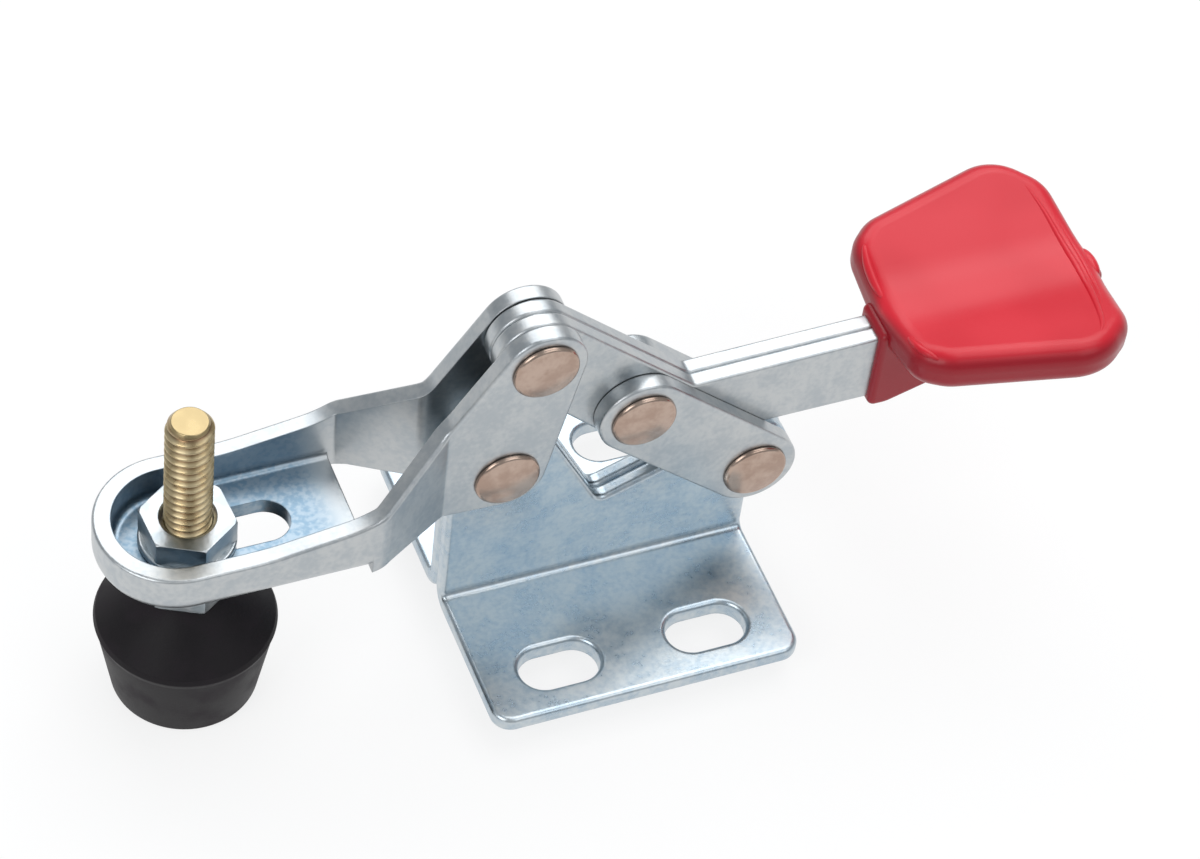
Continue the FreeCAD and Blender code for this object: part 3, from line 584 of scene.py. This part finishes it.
for node, body in RIVETS.items():
    low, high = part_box(node)
    half = head_profile(high.y, (high.x - low.x) / 2)
    whole = np.concatenate([half * MIRROR, half[::-1]])
    pin = surface(node.replace("rivet", "pin"), laid(whole, (low + high) / 2))
    dress(pin, body, "rivet_steel", node)

low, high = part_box(STUBS)
stub_end = min(abs(corner.co.y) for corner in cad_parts[STUBS].data.vertices)
half = np.concatenate([head_profile(high.y, (high.x - low.x) / 2), [[SHANK, stub_end], [0, stub_end]]])
stub_far = surface("stub_far", laid(half[::-1], (low + high) / 2))
stub_near = surface("stub_near", laid(half * MIRROR, (low + high) / 2))
dress(stub_far, "links", "rivet_steel", STUBS)
dress(stub_near, "links", "rivet_steel")

# %% [markdown]
# Vinyl that was dipped and hung to dry keeps two kinds of small folds: beads along the rims, where the skin
# drew back before it set, and a drop at the lowest place. They could be sculpted into the grip, but its
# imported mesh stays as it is. So a bead is a thin tube laid along a curve, whose height comes from the grip
# itself: a ray sent straight down tells where the skin is, and the tube's centre lies a little under that
# point, so that only its back shows.

# %% Folds in the dipped grip
BEAD_RADIUS = 0.55 * MM
BEAD_SINK = 0.22 * MM
ABOVE_THE_GRIP = 0.1
BEFORE_THE_END = 0.999999
BEADS = {
    "rear_bead": (1.0, [(62.6, -15.6), (64.4, -13.0), (66.2, -7.0), (67.0, -1.5), (66.9, 3.0), (66.2, 9.0),
                        (64.8, 14.2)]),
    "rear_trace": (0.7, [(65.6, -11.6), (67.3, -6.4), (68.2, -1.0), (68.1, 3.6), (67.6, 9.0)]),
    "front_bead": (1.3, [(39.5, 1.6), (39.4, 4.2), (39.5, 7.2), (40.0, 9.8)]),
    "front_trace": (1.1, [(39.5, -6.4), (39.6, -8.6), (40.1, -10.4), (41.2, -12.2)]),
}


def along(knots, count):
    """Points of a Catmull-Rom curve through knots in mm: cubics whose slope at each knot is half the step
    between its two neighbours. The end knots count twice, and the last point stays before the last knot."""
    held = np.array([knots[0], *knots, knots[-1]], float) * MM
    share = np.linspace(0, len(knots) - 1, count)[:, None] * BEFORE_THE_END
    i = share.astype(int).ravel()
    t = share - i[:, None]
    before, first, second, after = held[i], held[i + 1], held[i + 2], held[i + 3]
    return 0.5 * (2 * first + (second - before) * t + (2 * before - 5 * first + 4 * second - after) * t ** 2
                  + (3 * first - before - 3 * second + after) * t ** 3)


def bead_points(knots, radius, count=64, columns=12):
    """A tube on the grip's skin: each ring is its centre plus the radius times the cosine of the angle along
    the rise and its sine along the side. The radius follows the root of half a sine wave, so the ends close."""
    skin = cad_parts["grip_cover"]
    plan = along(knots, count)
    found = [skin.ray_cast(Vector((x, y, ABOVE_THE_GRIP)), Vector((0, 0, -1)))[1].z for x, y in plan]
    centre = np.column_stack([plan, np.array(found) - BEAD_SINK])
    ahead = np.gradient(centre, axis=0)
    ahead /= np.linalg.norm(ahead, axis=1, keepdims=True)
    side = np.cross(ahead, [0.0, 0.0, 1.0])
    side /= np.linalg.norm(side, axis=1, keepdims=True)
    rise = np.cross(side, ahead)
    taper = radius * np.sqrt(np.clip(np.sin(np.linspace(0, math.pi, count)), 0, 1))[:, None, None]
    angle = np.linspace(0, 2 * math.pi, columns, endpoint=False)[None, :, None]
    return centre[:, None] + taper * (np.cos(angle) * rise[:, None] + np.sin(angle) * side[:, None])


for name, (share, knots) in BEADS.items():
    dress(surface(name, bead_points(knots, share * BEAD_RADIUS)), "handle", "red_vinyl")

# %% [markdown]
# The drop ran to the middle of the rear rim and set there. A metaball could melt two such forms into one, but
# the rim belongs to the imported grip, so a ball with three radii is sunk into it and looks the same.

# %% Drop on the rear rim
DROP_CENTRE = np.array([69.7, 0.2, 38.2]) * MM
DROP_RADII = np.array([1.1, 2.7, 1.1]) * MM
DROP_ROWS, DROP_COLUMNS = 25, 40
polar = np.linspace(0, math.pi, DROP_ROWS)
ball = turned(np.column_stack([np.sin(polar), np.cos(polar)])[::-1], DROP_COLUMNS)
dress(surface("drop", ball * DROP_RADII + DROP_CENTRE), "handle", "red_vinyl")

# %% [markdown]
# The floor is a plain pale sheet. Seen by the camera it should be as white as the paper, yet hold the soft
# shadow of the clamp. A glowing sheet would lose the shadow and a matt one would turn grey, so its shader is
# part plain white light and part a matt white that takes the lamps. Reflections see the same white, because
# metal shows little else than what stands round it.

# %% Floor
FLOOR_GLOW = 0.80
FLOOR_SIZE = 12.0
FLOOR_DROP = 0.05 * MM


def pale_floor():
    """Matt white, mixed with plain white light for rays from the camera and for reflections."""
    finish = Finish("pale_floor", Base_Color=rgb(250, 250, 250), Roughness=0.9)
    camera_ray, glossy_ray, clear_ray = [finish.node("ShaderNodeLightPath", {}, {}, f"Is {kind} Ray")
                                         for kind in ("Camera", "Glossy", "Transmission")]
    seen = finish.maths("MAXIMUM", camera_ray, finish.maths("MAXIMUM", glossy_ray, clear_ray))
    glow = finish.node("ShaderNodeEmission", {}, {"Color": (1, 1, 1, 1), "Strength": 1.0})
    matt = Signal(finish, finish.shader.outputs[0])
    mixed = finish.node("ShaderNodeMixShader", {}, {0: seen * FLOOR_GLOW, 1: matt, 2: glow})
    finish.plug(finish.tree.nodes["Material Output"].inputs["Surface"], mixed)
    return finish.material


floor_mesh = bpy.data.meshes.new("floor")
edge = FLOOR_SIZE / 2
floor_z = cad_box[0][2] - FLOOR_DROP
floor_corners = [(-edge, -edge, floor_z), (edge, -edge, floor_z), (edge, edge, floor_z), (-edge, edge, floor_z)]
floor_mesh.from_pydata(floor_corners, [], [(0, 1, 2, 3)])
floor = bpy.data.objects.new("floor", floor_mesh)
bpy.context.scene.collection.objects.link(floor)
floor_mesh.materials.append(pale_floor())
print("floor at", round(floor_z / MM, 2), "mm")

# %% [markdown]
# Bright plate shows its lamps as shapes, so a studio uses large soft boxes: one above for the flat faces, a
# small key from the left for the nose, a wide one behind for the rims and one in front for the walls. A dim
# bluish sky fills what they leave dark. The table holds each lamp's place, width, height and watts.

# %% Sky and lamps
SKY_COLOUR = (0.92, 0.96, 1.0, 1.0)
SKY_STRENGTH = 0.46
LAMPS = {
    "top_box": ((0.28, 0.08, 0.85), 0.60, 0.60, 2.0),
    "key_box": ((-0.55, -0.25, 0.50), 0.40, 0.40, 1.4),
    "rear_box": ((0.24, 0.66, 0.80), 1.20, 0.66, 5.4),
    "front_box": ((0.34, -0.62, 0.72), 0.62, 0.52, 1.35),
}

world = bpy.data.worlds.new("studio")
world.use_nodes = True
sky = world.node_tree.nodes["Background"]
sky.inputs["Color"].default_value = SKY_COLOUR
sky.inputs["Strength"].default_value = SKY_STRENGTH
bpy.context.scene.world = world


def soft_box(name, centre, width, height, watts):
    """An area lamp that points at the middle of the clamp."""
    lamp = bpy.data.lights.new(name, "AREA")
    lamp.shape = "RECTANGLE"
    lamp.size = width
    lamp.size_y = height
    lamp.energy = watts
    held = bpy.data.objects.new(name, lamp)
    bpy.context.scene.collection.objects.link(held)
    held.location = centre
    held.rotation_mode = "QUATERNION"
    held.rotation_quaternion = (Vector(centre) - TARGET).to_track_quat("Z", "Y")


for name, lamp_values in LAMPS.items():
    soft_box(name, *lamp_values)
print("lamps:", list(LAMPS))
